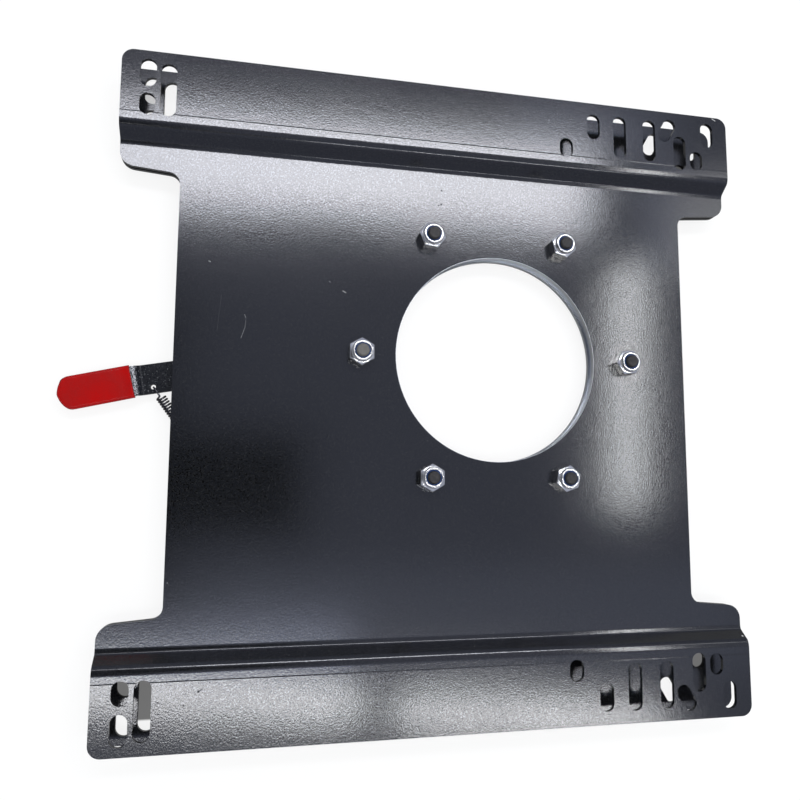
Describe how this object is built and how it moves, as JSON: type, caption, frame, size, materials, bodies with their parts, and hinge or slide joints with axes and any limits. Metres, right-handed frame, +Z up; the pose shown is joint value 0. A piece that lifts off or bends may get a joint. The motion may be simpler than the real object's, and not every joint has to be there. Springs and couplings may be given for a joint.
{
  "type": "swivel seat base",
  "caption": "Flat swivel for a camper seat: slotted steel base and seat plates turn on an offset bolted ring and lock with a sprung hand lever.",
  "frame": {"origin": "middle of the base plate's outline on the mounting surface, which is also the middle of its corner slots", "axes": "+X across the flanges, along which the slots run; +Y along the flanges, away from the release lever; +Z up towards the seat"},
  "size_m": [0.457, 0.4854, 0.0325],
  "materials": {
    "black_powder_coat": "satin black powder coat with fine orange peel",
    "black_lever_coat": "textured black powder coat",
    "zinc_steel": "bright zinc plated",
    "spring_steel": "zinc plated spring wire",
    "black_oxide": "black oxide",
    "blue_nylon": "smooth",
    "natural_nylon": "smooth matt",
    "red_vinyl": "dipped, semi gloss"
  },
  "bodies": {
    "base": {"bottom_plate": "black_powder_coat", "upper_slide_ring": "natural_nylon", "lower_slide_ring": "natural_nylon", "lever_pivot": "zinc_steel", "pivot_washer": "zinc_steel", "lever_stop": "zinc_steel", "spring_post": "zinc_steel", "return_spring": "spring_steel"},
    "seat_side": {"top_plate": "black_powder_coat", "spacer_ring": "black_powder_coat", "clamp_ring": "black_powder_coat", "ring_bolt_1": "black_oxide", "ring_bolt_2": "black_oxide", "ring_bolt_3": "black_oxide", "ring_bolt_4": "black_oxide", "ring_bolt_5": "black_oxide", "ring_bolt_6": "black_oxide", "lock_nut_1": "zinc_steel", "lock_nut_2": "zinc_steel", "lock_nut_3": "zinc_steel", "lock_nut_4": "zinc_steel", "lock_nut_5": "zinc_steel", "lock_nut_6": "zinc_steel", "nut_insert_1": "blue_nylon", "nut_insert_2": "blue_nylon", "nut_insert_3": "blue_nylon", "nut_insert_4": "blue_nylon", "nut_insert_5": "blue_nylon", "nut_insert_6": "blue_nylon"},
    "lever": {"release_lever": "black_lever_coat", "lever_grip": "red_vinyl"}
  },
  "joints": [
    {"name": "seat_swivel", "type": "hinge", "parent": "base", "child": "seat_side", "pos_m": [-0.02902, 0.038, 0.014], "axis": [0, 0, 1], "continuous": true},
    {"name": "lever_pull", "type": "hinge", "parent": "base", "child": "lever", "pos_m": [-0.02392, -0.11191, 0.0065], "axis": [0, 0, 1], "range_deg": [-10, 5.6], "stiffness_Nm_per_rad": 6, "deforming": ["return_spring"]}
  ]
}
